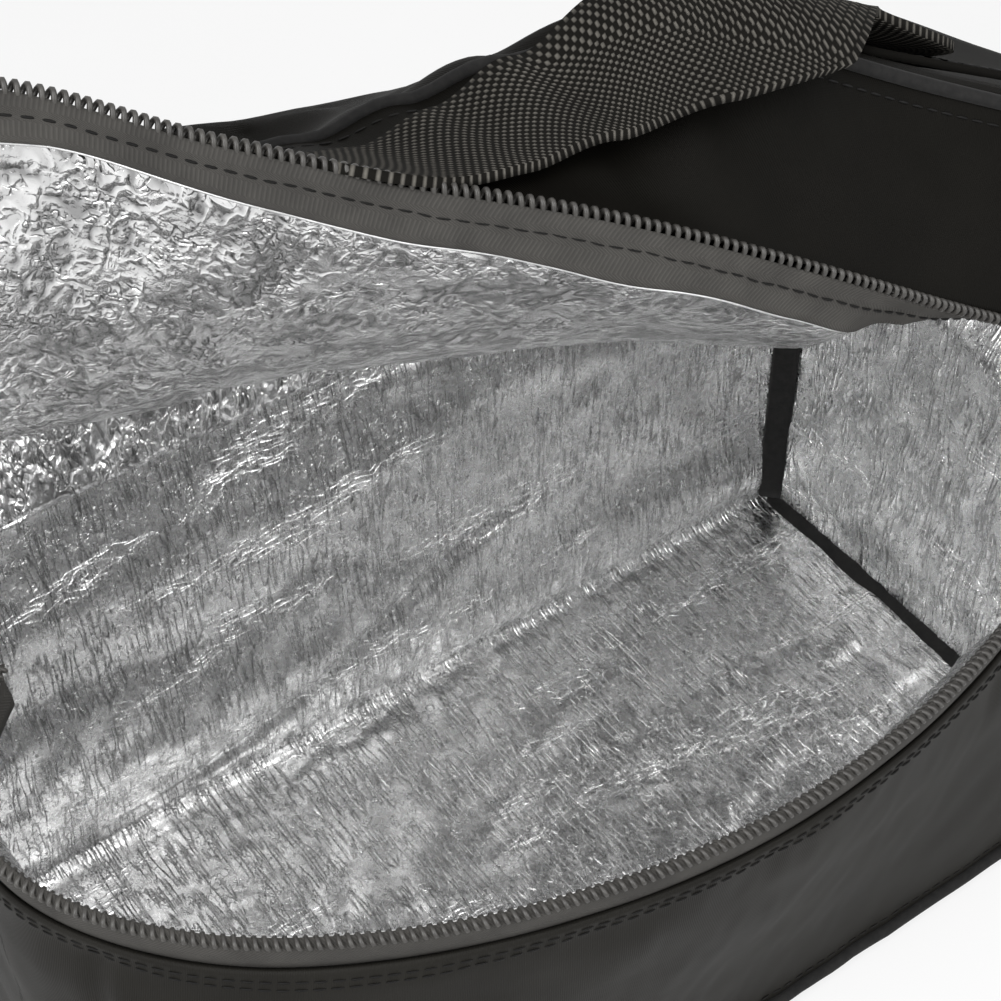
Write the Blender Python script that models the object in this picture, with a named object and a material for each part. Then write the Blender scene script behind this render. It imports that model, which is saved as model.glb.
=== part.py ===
"""Insulated cooler bag with a zipped box lid and a webbing handle.

Frame: +X to the right end, -Y to the front, +Z up, origin at the middle of the underside.
Both halves are drawn from the zip's middle plane: depth is the distance away from it, down
for the base and up for the lid. Inset is the distance inwards from the bag's outer outline.
"""
import math

import bmesh
import bpy
from mathutils import Vector

mm = 0.001

# The bag as a whole
bag_length = 330 * mm
bag_width = 180 * mm
base_height = 132 * mm
lid_band = 50 * mm
rim_radius = 34 * mm
end_radius = 14 * mm
fit_gap = 0.3 * mm
lid_open_angle = 90.0
quarter_turn = 90.0
smooth_angle = 61.0
corner_steps = 6
side_count = 4

# Layers of the wall, from the outside in
fabric = 1.4 * mm
foam = 6.0 * mm
foil = 0.9 * mm
foot_draw = 5.0 * mm
crown_draw = 3.0 * mm
foot_round = 5.0 * mm
crown_round = 8.0 * mm
round_steps = 3

# The zip: two tapes that each carry a coil, and the slot that the slider's post runs in
tape_width = 14.0 * mm
tape_sewn = 6.0 * mm
tape_thickness = 1.0 * mm
coil_width = 2.2 * mm
coil_height = 2.0 * mm
coil_waist = 0.5 * mm
coil_pitch = 5.0 * mm
slot_width = 1.6 * mm
zip_rear_margin = 36.0 * mm

# The fabric hinge at the rear
hinge_end_margin = 42.0 * mm
hinge_base_gap = 1.2 * mm
hinge_lid_gap = 0.6 * mm

# Bound seams
piping_radius = 1.8 * mm
piping_sides = 6
foot_piping_rise = 2.2 * mm
crown_piping_drop = 1.0 * mm
binding_width = 9.0 * mm
binding_thickness = 1.2 * mm
binding_top_margin = 4.0 * mm
binding_levels = 5

# The webbing handle
strap_width = 38.0 * mm
strap_thickness = 2.4 * mm
handle_span = 190.0 * mm
handle_drop = 62.0 * mm
strap_corner = 9.0 * mm
outer_bend_steps = 4
inner_bend_steps = 3
tab_length = 46.0 * mm

# The slider and its puller
slider_length = 11.0 * mm
slider_nose_height = 8.6 * mm
slider_tail_height = 7.0 * mm
plate_thickness = 1.2 * mm
post_length = 3.0 * mm
post_height = 1.0 * mm
bail_half_length = 3.6 * mm
bail_thickness = 1.2 * mm
bail_width = 1.6 * mm
bail_clearance = 0.4 * mm
puller_length = 27.0 * mm
puller_width = 7.0 * mm
puller_thickness = 1.2 * mm
puller_taper = 1.75 * mm
eye_width = 2.8 * mm
eye_length = 6.6 * mm
slider_park_margin = 3.0 * mm

half_length = bag_length / 2
half_width = bag_width / 2
tape_show = tape_width - tape_sewn
coil_start = slot_width / 2
tape_start = coil_start + coil_height + fit_gap
edge_depth = tape_start + tape_show
tape_end = tape_start + tape_width
zip_height = base_height + edge_depth
lid_top_depth = edge_depth + lid_band
foam_inset = fabric + fit_gap
foil_inset = foam_inset + foam + fit_gap
inner_inset = foil_inset + foil
tape_inset = fabric + fit_gap
coil_middle = tape_inset + tape_thickness / 2
rim_flange_depth = tape_end + fit_gap
foam_top_depth = rim_flange_depth + foil + fit_gap
zip_rear = half_width - zip_rear_margin
hinge_rear = half_width - tape_inset - tape_thickness / 2
piping_proud = 2 * piping_radius
piping_middle = piping_radius + fit_gap

base_half = {"side": -1, "end": zip_height, "draw": foot_draw, "round": foot_round}
lid_half = {"side": 1, "end": lid_top_depth, "draw": crown_draw, "round": crown_round}


def make_material(name, color, roughness, metallic=0.0):
    material = bpy.data.materials.new(name)
    material.use_nodes = True
    shader = material.node_tree.nodes["Principled BSDF"]
    shader.inputs["Base Color"].default_value = (*color, 1.0)
    shader.inputs["Roughness"].default_value = roughness
    shader.inputs["Metallic"].default_value = metallic
    return material


def add_empty(name, place, parent=None, turn=0.0):
    empty = bpy.data.objects.new(name, None)
    bpy.context.scene.collection.objects.link(empty)
    empty.parent = parent
    empty.location = place
    empty.rotation_euler.x = math.radians(turn)
    return empty


def add_body(name, mesh, material, holder=None, at=Vector((0, 0, 0))):
    """A mesh drawn in the closed bag's frame, hung on the empty that stands at the point at."""
    bmesh.ops.recalc_face_normals(mesh, faces=mesh.faces)
    data = bpy.data.meshes.new(name)
    mesh.to_mesh(data)
    mesh.free()
    if holder is not None:
        for vertex in data.vertices:
            vertex.co -= at
    body = bpy.data.objects.new(name, data)
    body.data.materials.append(material)
    bpy.context.scene.collection.objects.link(body)
    body.parent = holder
    body.data.shade_smooth()
    body.data.set_sharp_from_angle(angle=math.radians(smooth_angle))
    return body


def height_of(half, depth):
    return zip_height + half["side"] * depth


def draw_at(half, depth):
    """How far the wall leans in at a depth: nothing at the rim, all of it at the far end."""
    share = (depth - tape_end) / (half["end"] - tape_end)
    return half["draw"] * min(max(share, 0.0), 1.0)


def radius_at(half, depth):
    share = (depth - tape_end) / (half["end"] - tape_end)
    return rim_radius + (end_radius - rim_radius) * min(max(share, 0.0), 1.0)


def outline(half, inset, depth):
    """The bag's rounded outline at a depth, as points in order round it."""
    lean = draw_at(half, depth)
    reach_x = half_length - lean - inset
    reach_y = half_width - lean - inset
    radius = max(radius_at(half, depth) - inset, foil)
    points = []
    for corner in range(side_count):
        start = corner * math.pi / 2
        sign_x = 1 if corner in (0, 3) else -1
        sign_y = 1 if corner in (0, 1) else -1
        middle = (sign_x * (reach_x - radius), sign_y * (reach_y - radius))
        for step in range(corner_steps + 1):
            angle = start + step * math.pi / 2 / corner_steps
            points.append(
                Vector((
                    middle[0] + radius * math.cos(angle),
                    middle[1] + radius * math.sin(angle),
                    height_of(half, depth),
                ))
            )
    return points


def loft(rings, closed_ends=True, closed_loop=False):
    """A body skinned over rings of equally many points."""
    mesh = bmesh.new()
    rows = [[mesh.verts.new(point) for point in ring] for ring in rings]
    count = len(rows[0])
    pairs = list(zip(rows, rows[1:]))
    if closed_loop:
        pairs.append((rows[-1], rows[0]))
    for low, high in pairs:
        for i in range(count):
            j = (i + 1) % count
            mesh.faces.new((low[i], low[j], high[j], high[i]))
    if closed_ends and not closed_loop:
        mesh.faces.new(rows[0])
        mesh.faces.new(rows[-1])
    return mesh


def round_levels(half, inset):
    """Insets and depths down the rounded edge between the wall and the flat end."""
    levels = []
    radius = max(half["round"] - inset / 2, foil)
    end = half["end"] - inset
    for step in range(round_steps + 1):
        angle = step * math.pi / 2 / round_steps
        levels.append((
            inset + radius * (1 - math.cos(angle)),
            end - radius * (1 - math.sin(angle)),
        ))
    return levels


def tub_rings(half, outer, inner, rim_depth):
    """Rings up the outside of an open tub and down its inside."""
    rising = [outline(half, inset, depth) for inset, depth in reversed(round_levels(half, outer))]
    falling = [outline(half, inset, depth) for inset, depth in round_levels(half, inner)]
    rim = [outline(half, outer, rim_depth), outline(half, inner, rim_depth)]
    if rim_depth < tape_end:
        rim = [outline(half, outer, tape_end)] + rim + [outline(half, inner, tape_end)]
    return rising + rim + falling


def make_shell(name, half, material, holder, at):
    return add_body(name, loft(tub_rings(half, 0, fabric, edge_depth)), material, holder, at)


def make_lining(name, half, material, holder, at):
    """The foil tub, whose rim turns out over the foam to the zip's tape."""
    rings = tub_rings(half, foil_inset, inner_inset, rim_flange_depth)
    turned = tape_inset + tape_thickness + fit_gap
    under = outline(half, foil_inset, rim_flange_depth + foil)
    lip = [outline(half, turned, rim_flange_depth + foil), outline(half, turned, rim_flange_depth)]
    outer_count = round_steps + 1
    rings = rings[:outer_count] + [under] + lip + rings[outer_count + 1:]
    return add_body(name, loft(rings), material, holder, at)


def make_foam(half, material, holder, at, wall_name, panel_name):
    """Foam round the four sides, and the panel at the far end, cut to sit inside it."""
    wall_end = half["end"] - half["round"] - fabric
    panel_far = half["end"] - foam_inset
    panel_near = panel_far - foam
    outer = [outline(half, foam_inset, wall_end), outline(half, foam_inset, foam_top_depth)]
    inner = [
        outline(half, foam_inset + foam, foam_top_depth),
        outline(half, foam_inset + foam, wall_end),
    ]
    walls = loft(outer + inner, closed_loop=True)
    add_body(wall_name, walls, material, holder, at)
    panel_inset = foam_inset + foam + fit_gap + half["round"] / 2
    panel = loft([outline(half, panel_inset, panel_near), outline(half, panel_inset, panel_far)])
    add_body(panel_name, panel, material, holder, at)


def rim_lengths():
    side = zip_rear + half_width - rim_radius
    arc = rim_radius * math.pi / 2
    front = bag_length - 2 * rim_radius
    return side, arc, front


def rim_at(travel):
    """Point and outward direction on the rim, by the distance along it from its left rear end."""
    side, arc, front = rim_lengths()
    if travel <= side:
        return Vector((-half_length, zip_rear - travel, 0)), Vector((-1, 0, 0))
    travel -= side
    corner_y = rim_radius - half_width
    if travel <= arc:
        angle = math.pi + travel / rim_radius
        out = Vector((math.cos(angle), math.sin(angle), 0))
        return Vector((rim_radius - half_length, corner_y, 0)) + out * rim_radius, out
    travel -= arc
    if travel <= front:
        return Vector((rim_radius - half_length + travel, -half_width, 0)), Vector((0, -1, 0))
    travel -= front
    if travel <= arc:
        angle = math.pi * 3 / 2 + travel / rim_radius
        out = Vector((math.cos(angle), math.sin(angle), 0))
        return Vector((half_length - rim_radius, corner_y, 0)) + out * rim_radius, out
    travel -= arc
    return Vector((half_length, corner_y + travel, 0)), Vector((1, 0, 0))


def strip_ring(half, travel, inset_range, depth_range):
    """The four corners of a strip's section at one place along the rim."""
    point, out = rim_at(travel)
    corners = []
    for inset, depth in (
        (inset_range[0], depth_range[0]),
        (inset_range[1], depth_range[0]),
        (inset_range[1], depth_range[1]),
        (inset_range[0], depth_range[1]),
    ):
        corners.append(point - out * inset + Vector((0, 0, height_of(half, depth))))
    return corners


def make_tape(name, half, material, holder, at):
    side, arc, front = rim_lengths()
    stops = [0.0]
    for start in (side, side + arc + front):
        stops += [start + arc * step / corner_steps for step in range(corner_steps + 1)]
    stops.append(2 * side + 2 * arc + front)
    insets = (tape_inset, tape_inset + tape_thickness)
    depths = (tape_start, tape_end)
    mesh = loft([strip_ring(half, travel, insets, depths) for travel in stops])
    return add_body(name, mesh, material, holder, at)


def make_coil(name, half, material, holder, at):
    """The row of coil turns: a strip that swells at each turn and narrows between them."""
    side, arc, front = rim_lengths()
    total = 2 * side + 2 * arc + front
    turns = round(total / coil_pitch)
    rings = []
    for step in range(2 * turns + 1):
        waist = coil_waist * (step % 2)
        insets = (coil_middle - coil_width / 2 + waist, coil_middle + coil_width / 2 - waist)
        depths = (coil_start + waist, coil_start + coil_height)
        rings.append(strip_ring(half, total * step / (2 * turns), insets, depths))
    return add_body(name, loft(rings), material, holder, at)


def make_hinge_half(name, half, near_gap, material, holder, at):
    """One half of the fabric strip that joins the base and the lid behind the zip's two ends."""
    reach = half_length - hinge_end_margin
    near = hinge_rear - tape_thickness / 2
    far = hinge_rear + tape_thickness / 2
    rings = []
    for x in (-reach, reach):
        rings.append([
            Vector((x, near, height_of(half, near_gap))),
            Vector((x, far, height_of(half, near_gap))),
            Vector((x, far, height_of(half, tape_end))),
            Vector((x, near, height_of(half, tape_end))),
        ])
    return add_body(name, loft(rings), material, holder, at)


def make_piping(name, half, depth, inset, material, holder, at):
    """A round cord sewn along the bag's edge, as a ring of round sections."""
    middle = outline(half, inset, depth)
    count = len(middle)
    rings = []
    for i, point in enumerate(middle):
        ahead = middle[(i + 1) % count] - middle[i - 1]
        out = Vector((ahead.y, -ahead.x, 0)).normalized()
        ring = []
        for side in range(piping_sides):
            angle = 2 * math.pi * side / piping_sides
            ring.append(
                point
                + out * piping_radius * math.cos(angle)
                + Vector((0, 0, piping_radius * math.sin(angle)))
            )
        rings.append(ring)
    return add_body(name, loft(rings, closed_loop=True), material, holder, at)


def lining_corner(x_sign, y_sign, depth):
    """The middle of the lining's rounded corner at a depth, and the direction into the bag."""
    lean = draw_at(base_half, depth)
    radius = max(radius_at(base_half, depth) - inner_inset, foil)
    into = Vector((-x_sign, -y_sign, 0)).normalized()
    middle = Vector((
        x_sign * (half_length - lean - inner_inset - radius),
        y_sign * (half_width - lean - inner_inset - radius),
        height_of(base_half, depth),
    ))
    return middle - into * radius, into


def bridge_clear(radius):
    """How far a flat tape stands off the middle of a square corner rounded to a radius."""
    half = binding_width / 2
    if half <= radius * math.sqrt(1 / 2):
        return 2 * fit_gap + radius - math.sqrt(radius * radius - half * half)
    return 2 * fit_gap + half - radius * (math.sqrt(2) - 1)


def make_binding(name, x_sign, material):
    """Tape over one end seam of the lining: down a corner, across the floor's edge, up the other."""
    top = rim_flange_depth + binding_top_margin
    floor_depth = base_half["end"] - inner_inset
    low = floor_depth - binding_width
    stations = []
    for y_sign, levels in ((1, range(binding_levels)), (-1, reversed(range(binding_levels)))):
        for level in levels:
            depth = top + (low - top) * level / (binding_levels - 1)
            corner, into = lining_corner(x_sign, y_sign, depth)
            across = Vector((0, 0, 1)).cross(into) * y_sign * x_sign
            radius = max(radius_at(base_half, depth) - inner_inset, foil)
            stations.append((corner + into * bridge_clear(radius), across, into))
        if y_sign == 1:
            for end_sign in (1, -1):
                corner, into = lining_corner(x_sign, end_sign, floor_depth)
                up = Vector((0, 0, 1))
                into = (Vector((-x_sign, 0, 0)) + up).normalized()
                corner -= Vector((0, end_sign * binding_width / 2, 0))
                corner += into * bridge_clear(foil)
                across = Vector((0, 1, 0)).cross(into) * x_sign
                stations.append((corner, across, into))
    rings = []
    for middle, across, into in stations:
        side = across.normalized() * binding_width / 2
        rise = into * binding_thickness
        rings.append([middle - side, middle + side, middle + side + rise, middle - side + rise])
    return add_body(name, loft(rings), material)


def prism(points, thickness):
    """A flat outline given as 3-D points, thickened along the vector thickness."""
    return loft([points, [point + thickness for point in points]])


def box_mesh(low, high):
    corners = [(low.x, low.y), (high.x, low.y), (high.x, high.y), (low.x, high.y)]
    points = [Vector((x, y, low.z)) for x, y in corners]
    return prism(points, Vector((0, 0, high.z - low.z)))


def rounded_corner(middle, radius, start, steps):
    """Points of a quarter arc in the X-Z plane."""
    points = []
    for step in range(steps + 1):
        angle = math.radians(start + quarter_turn * step / steps)
        points.append(middle + Vector((math.cos(angle), 0, math.sin(angle))) * radius)
    return points


def make_handle(material, holder, at, handle_place):
    """The loop, a flat U of webbing that hangs from the sewn ends over the lid's front band."""
    outer = handle_span / 2 + strap_width / 2
    inner = handle_span / 2 - strap_width / 2
    near = handle_place - Vector((0, strap_thickness / 2, 0))
    low = near.z - handle_drop
    gap_low = low + strap_width
    deep = strap_corner + strap_width / 2

    def place(x, z):
        return Vector((x, near.y, z))

    points = [place(outer, near.z)]
    for middle, start in ((outer - deep, -quarter_turn), (deep - outer, -2 * quarter_turn)):
        bend = rounded_corner(place(middle, low + deep), deep, start, outer_bend_steps)
        points += reversed(bend)
    points += [place(-outer, near.z), place(-inner, near.z)]
    turn_in = inner - strap_corner
    for middle, start in ((-turn_in, -2 * quarter_turn), (turn_in, -quarter_turn)):
        centre = place(middle, gap_low + strap_corner)
        points += rounded_corner(centre, strap_corner, start, inner_bend_steps)
    points.append(place(inner, near.z))
    mesh = prism(points, Vector((0, strap_thickness, 0)))
    return add_body("handle_webbing", mesh, material, holder, at)


def make_handle_tab(name, x_sign, material, holder, at, handle_place):
    """A sewn-down end of the webbing, flat on the lid's top."""
    front = handle_place.y + strap_thickness / 2 + 2 * fit_gap
    base = height_of(lid_half, lid_top_depth) + fit_gap
    low = Vector((x_sign * handle_span / 2 - strap_width / 2, front, base))
    high = low + Vector((strap_width, tab_length, strap_thickness))
    return add_body(name, box_mesh(low, high), material, holder, at)


def add_boolean(body, cutter, operation):
    cutter.hide_render = True
    cutter.display_type = "WIRE"
    modifier = body.modifiers.new(operation.lower(), "BOOLEAN")
    modifier.operation = operation
    modifier.object = cutter


def plate_points(x):
    """The slider's side view: a blunt nose to the front that narrows to the tail."""
    nose = -slider_length / 2
    tail = slider_length / 2
    high = slider_nose_height / 2
    low = slider_tail_height / 2
    shape = [(nose, -low), (nose, low), (nose / 2, high), (0, high), (tail, low), (tail, -low),
             (0, -high), (nose / 2, -high)]
    return [Vector((x, y, z)) for y, z in shape]


def make_slider(material, holder):
    """Two plates joined by a post in the zip's slot, with a bail on the outer plate."""
    inner_face = -coil_width / 2 - fit_gap
    outer_face = coil_width / 2 + fit_gap
    bail_low = outer_face + plate_thickness - fit_gap
    bar_low = outer_face + plate_thickness + 2 * bail_clearance + puller_thickness
    bar_high = bar_low + bail_thickness
    pieces = [
        prism(plate_points(outer_face), Vector((plate_thickness, 0, 0))),
        prism(plate_points(inner_face - plate_thickness), Vector((plate_thickness, 0, 0))),
        box_mesh(
            Vector((inner_face - fit_gap, -slider_length / 2 + post_height, -post_height / 2)),
            Vector((outer_face + fit_gap, post_length - slider_length / 2, post_height / 2)),
        ),
        box_mesh(
            Vector((bar_low, -bail_half_length, -bail_width / 2)),
            Vector((bar_high, bail_half_length, bail_width / 2)),
        ),
    ]
    for sign in (-1, 1):
        foot = sign * (bail_half_length - bail_thickness / 2)
        pieces.append(box_mesh(
            Vector((bail_low, foot - bail_thickness / 2, -bail_width / 2)),
            Vector((bar_high, foot + bail_thickness / 2, bail_width / 2)),
        ))
    body = add_body("zip_slider", pieces[0], material, holder)
    for index, piece in enumerate(pieces[1:]):
        part = add_body("slider_piece_%d" % index, piece, material, holder)
        add_boolean(body, part, "UNION")
    return body


def make_puller(material, holder):
    """A flat pull whose end bar lies under the bail."""
    bar = puller_thickness / 2
    half = puller_width / 2
    taper = puller_taper
    shape = [(-bar, -half + bar), (-bar, half - bar), (bar, half), (eye_length, half),
             (puller_length - taper, half - bar), (puller_length, half - taper),
             (puller_length, taper - half), (puller_length - taper, bar - half),
             (eye_length, -half), (bar, -half)]
    points = [Vector((-bar, y, z)) for y, z in shape]
    body = add_body("zip_puller", prism(points, Vector((puller_thickness, 0, 0))), material, holder)
    cutter = add_body(
        "puller_eye",
        box_mesh(
            Vector((-puller_thickness, bar, -eye_width / 2)),
            Vector((puller_thickness, bar + eye_length, eye_width / 2)),
        ),
        material,
        holder,
    )
    add_boolean(body, cutter, "DIFFERENCE")
    return body


def build():
    for item in list(bpy.data.objects):
        bpy.data.objects.remove(item)

    coated = make_material("coated_fabric", (0.030, 0.028, 0.025), 0.55)
    white_foam = make_material("foam", (0.80, 0.80, 0.78), 0.95)
    silver = make_material("foil", (0.62, 0.62, 0.63), 0.32, 0.9)
    tape = make_material("tape", (0.065, 0.062, 0.057), 0.85)
    bound = make_material("binding", (0.022, 0.021, 0.020), 0.8)
    nylon = make_material("coil", (0.070, 0.067, 0.062), 0.45)
    webbing = make_material("webbing", (0.050, 0.047, 0.042), 0.85)
    metal = make_material("zip_metal", (0.045, 0.044, 0.043), 0.35, 0.8)

    lid_place = Vector((0, hinge_rear, zip_height))
    lid_axis = add_empty("lid_axis", lid_place, turn=-lid_open_angle)
    origin = Vector((0, 0, 0))

    make_shell("outer_shell", base_half, coated, None, origin)
    make_foam(base_half, white_foam, None, origin, "foam_walls", "foam_floor")
    make_lining("foil_lining", base_half, silver, None, origin)
    make_tape("base_zip_tape", base_half, tape, None, origin)
    make_coil("base_zip_coil", base_half, nylon, None, origin)
    make_hinge_half("hinge_strip", base_half, hinge_base_gap, coated, None, origin)
    make_binding("binding_left", -1, bound)
    make_binding("binding_right", 1, bound)
    foot_depth = zip_height - foot_round - foot_piping_rise
    make_piping("bottom_piping", base_half, foot_depth, -piping_middle, bound, None, origin)

    make_shell("lid_shell", lid_half, coated, lid_axis, lid_place)
    make_foam(lid_half, white_foam, lid_axis, lid_place, "lid_foam_band", "lid_foam_top")
    make_lining("lid_lining", lid_half, silver, lid_axis, lid_place)
    make_tape("lid_zip_tape", lid_half, tape, lid_axis, lid_place)
    make_coil("lid_zip_coil", lid_half, nylon, lid_axis, lid_place)
    make_hinge_half("lid_hinge_strip", lid_half, hinge_lid_gap, coated, lid_axis, lid_place)
    crown_depth = lid_top_depth - crown_round - crown_piping_drop
    make_piping("lid_piping", lid_half, crown_depth, -piping_middle, bound, lid_axis, lid_place)

    handle_rise = height_of(lid_half, lid_top_depth) + fit_gap + strap_thickness / 2
    handle_front = -half_width - piping_proud - 2 * fit_gap - strap_thickness / 2
    handle_place = Vector((0, handle_front, handle_rise))
    make_handle(webbing, lid_axis, lid_place, handle_place)
    make_handle_tab("handle_tab_left", -1, webbing, lid_axis, lid_place, handle_place)
    make_handle_tab("handle_tab_right", 1, webbing, lid_axis, lid_place, handle_place)

    slider_rear = zip_rear - slider_park_margin - slider_length / 2
    slider_place = Vector((half_length - coil_middle, slider_rear, zip_height))
    slider_axis = add_empty("slider_axis", slider_place)
    make_slider(metal, slider_axis)
    pull_reach = coil_width / 2 + fit_gap + plate_thickness + bail_clearance + puller_thickness / 2
    puller_axis = add_empty("puller_axis", Vector((pull_reach, 0, 0)), slider_axis)
    make_puller(metal, puller_axis)


build()
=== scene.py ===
import math

import bpy
import numpy as np
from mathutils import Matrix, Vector, noise


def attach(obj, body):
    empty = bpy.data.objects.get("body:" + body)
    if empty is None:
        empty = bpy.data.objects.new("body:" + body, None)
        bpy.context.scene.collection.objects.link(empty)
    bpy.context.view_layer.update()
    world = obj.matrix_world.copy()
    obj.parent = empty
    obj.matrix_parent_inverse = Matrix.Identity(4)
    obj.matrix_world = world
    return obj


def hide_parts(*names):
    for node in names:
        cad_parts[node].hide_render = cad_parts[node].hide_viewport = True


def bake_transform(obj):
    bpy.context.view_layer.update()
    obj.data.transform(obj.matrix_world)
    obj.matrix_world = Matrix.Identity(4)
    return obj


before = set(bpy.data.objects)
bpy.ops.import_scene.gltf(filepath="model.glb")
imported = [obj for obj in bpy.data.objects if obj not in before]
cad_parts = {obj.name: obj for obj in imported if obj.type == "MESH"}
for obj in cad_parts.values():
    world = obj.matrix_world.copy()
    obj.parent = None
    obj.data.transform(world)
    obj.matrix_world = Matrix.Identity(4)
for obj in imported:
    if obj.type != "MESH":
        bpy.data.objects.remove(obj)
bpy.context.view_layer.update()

# Lengths are in metres. The frame is the CAD's: +X right end, -Y front, +Z up.
# The lid is drawn closed and then turned about the rear hinge: 78 degrees at its left end, 12 at its right.

mm = 0.001
bag = {
    "zipHeight": 143.1 * mm,
    "hingeRear": 87.8 * mm,
    "footX": 160.0 * mm,
    "footY": 84.5 * mm,
    "footFront": 80.0 * mm,
    "footPower": 14.0,
    "rimRight": 163.6 * mm,
    "rimLeft": 163.5 * mm,
    "rimFront": 102.2 * mm,
    "rimRear": 88.6 * mm,
    "zipRear": 54.0 * mm,
    "fabric": 1.4 * mm,
    "coilPitch": 2.3 * mm,
}
lid = {
    "reach": 176.2 * mm,
    "halfLength": 162.8 * mm,
    "halfWidth": 88.4 * mm,
    "edgePower": 8.0,
    "depth": 61.0 * mm,
    "lean": 3.0 * mm,
    "leanFrom": 12 * mm,
    "crown": 9.0 * mm,
    "twistStart": 300.0 * mm,
    "twistEnd": -300.0 * mm,
    "openAngle": 90.0,
}


# Small maths

def ease(t):
    t = min(max(t, 0.0), 1.0)
    return t * t * (3 - 2 * t)


def ramp(value, low, high):
    return ease((value - low) / (high - low))


def blendTo(a, b, t):
    return a + (b - a) * t


def bump(value, middle, width):
    return math.exp(-((value - middle) / width) ** 2)


def stops(value, pairs):
    if value <= pairs[0][0]:
        return pairs[0][1]
    for (a, fa), (b, fb) in zip(pairs, pairs[1:]):
        if value <= b:
            return blendTo(fa, fb, ease((value - a) / (b - a)))
    return pairs[-1][1]


def ripple(x, y, z, size, seed=0.0):
    return noise.noise(Vector((x / size + seed, y / size, z / size)))


def unit(v):
    length = np.linalg.norm(v, axis=-1, keepdims=True)
    return v / np.maximum(length, 1e-12)


def throughPoints(points, count):
    points = np.array(points, float)
    ends = np.vstack([2 * points[0] - points[1], points, 2 * points[-1] - points[-2]])
    knots = np.linspace(0, len(points) - 1, count)
    out = []
    for k in knots:
        i = min(int(k), len(points) - 2)
        t = k - i
        a, b, c, d = ends[i], ends[i + 1], ends[i + 2], ends[i + 3]
        out.append(0.5 * (2 * b + (c - a) * t + (2 * a - 5 * b + 4 * c - d) * t * t
                          + (3 * b - a - 3 * c + d) * t * t * t))
    return np.array(out)


def evenly(points, count):
    points = np.array(points, float)
    steps = np.linalg.norm(np.diff(points, axis=0), axis=1)
    run = np.concatenate([[0], np.cumsum(steps)])
    goal = np.linspace(0, run[-1], count)
    return np.stack([np.interp(goal, run, points[:, k]) for k in range(points.shape[1])], 1)


# Mesh makers

def newPiece(name, verts, faces, material, uvs=None):
    data = bpy.data.meshes.new(name)
    data.from_pydata([tuple(v) for v in verts], [], faces)
    if uvs is not None:
        layer = data.uv_layers.new(name="cut")
        index = np.empty(len(data.loops), dtype=np.int32)
        data.loops.foreach_get("vertex_index", index)
        layer.data.foreach_set("uv", np.asarray(uvs, float)[index].ravel())
    data.materials.append(material)
    data.shade_smooth()
    piece = bpy.data.objects.new(name, data)
    bpy.context.scene.collection.objects.link(piece)
    return piece


def gridNormals(grid, wrap):
    across = np.gradient(grid, axis=1)
    if wrap:
        across = (np.roll(grid, -1, 1) - np.roll(grid, 1, 1)) / 2
    along = np.gradient(grid, axis=0)
    return unit(np.cross(across, along))


def sheet(name, grid, material, thick=0.0, wrap=False, capped=False, uvs=None):
    rows, cols = grid.shape[:2]
    normals = gridNormals(grid, wrap)
    sides = [grid]
    if thick:
        sides.append(grid - normals * thick)
    verts = np.concatenate([s.reshape(-1, 3) for s in sides])
    size = rows * cols
    faces = []
    spans = cols if wrap else cols - 1
    for layer in range(len(sides)):
        base = layer * size
        for r in range(rows - 1):
            for c in range(spans):
                n = (c + 1) % cols
                quad = (base + r * cols + c, base + r * cols + n,
                        base + (r + 1) * cols + n, base + (r + 1) * cols + c)
                faces.append(quad if layer == 0 else quad[::-1])
        if capped:
            last = [base + (rows - 1) * cols + c for c in range(cols)]
            faces.append(tuple(last) if layer == 0 else tuple(last[::-1]))
    if thick:
        for c in range(spans):
            n = (c + 1) % cols
            faces.append((c, size + c, size + n, n))
            if not capped:
                r = (rows - 1) * cols
                faces.append((r + n, size + r + n, size + r + c, r + c))
        if not wrap:
            for r in range(rows - 1):
                a, b = r * cols, (r + 1) * cols
                faces.append((b, size + b, size + a, a))
                a, b = a + cols - 1, b + cols - 1
                faces.append((a, size + a, size + b, b))
    if uvs is None:
        widths = np.linalg.norm(np.diff(grid[rows // 2], axis=0), axis=1)
        lengths = np.linalg.norm(np.diff(grid[:, cols // 2], axis=0), axis=1)
        u = np.concatenate([[0], np.cumsum(widths)])
        v = np.concatenate([[0], np.cumsum(lengths)])
        uvs = np.stack(np.meshgrid(u, v), -1)
    flat = np.concatenate([uvs.reshape(-1, 2)] * len(sides))
    return newPiece(name, verts, faces, material, flat)


def tube(name, path, radius, material, sides=8, closed=False, squash=1.0, up=(0, 0, 1)):
    path = np.array(path, float)
    if closed:
        ahead = unit(np.roll(path, -1, 0) - np.roll(path, 1, 0))
    else:
        ahead = unit(np.gradient(path, axis=0))
    up = np.broadcast_to(np.array(up, float), path.shape)
    side = unit(np.cross(ahead, up))
    top = np.cross(side, ahead)
    angles = np.linspace(0, 2 * math.pi, sides, endpoint=False)
    rings = [path + side * math.cos(a) * radius + top * math.sin(a) * radius * squash for a in angles]
    grid = np.stack(rings, 1)
    count = len(path)
    verts = grid.reshape(-1, 3)
    faces = []
    for i in range(count if closed else count - 1):
        j = (i + 1) % count
        for k in range(sides):
            n = (k + 1) % sides
            faces.append((i * sides + k, i * sides + n, j * sides + n, j * sides + k))
    if not closed:
        faces.append(tuple(range(sides))[::-1])
        faces.append(tuple((count - 1) * sides + k for k in range(sides)))
    run = np.concatenate([[0], np.cumsum(np.linalg.norm(np.diff(path, axis=0), axis=1))])
    uvs = np.stack([np.repeat(run, sides), np.tile(angles * radius, count)], 1)
    return newPiece(name, verts, faces, material, uvs)


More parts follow.
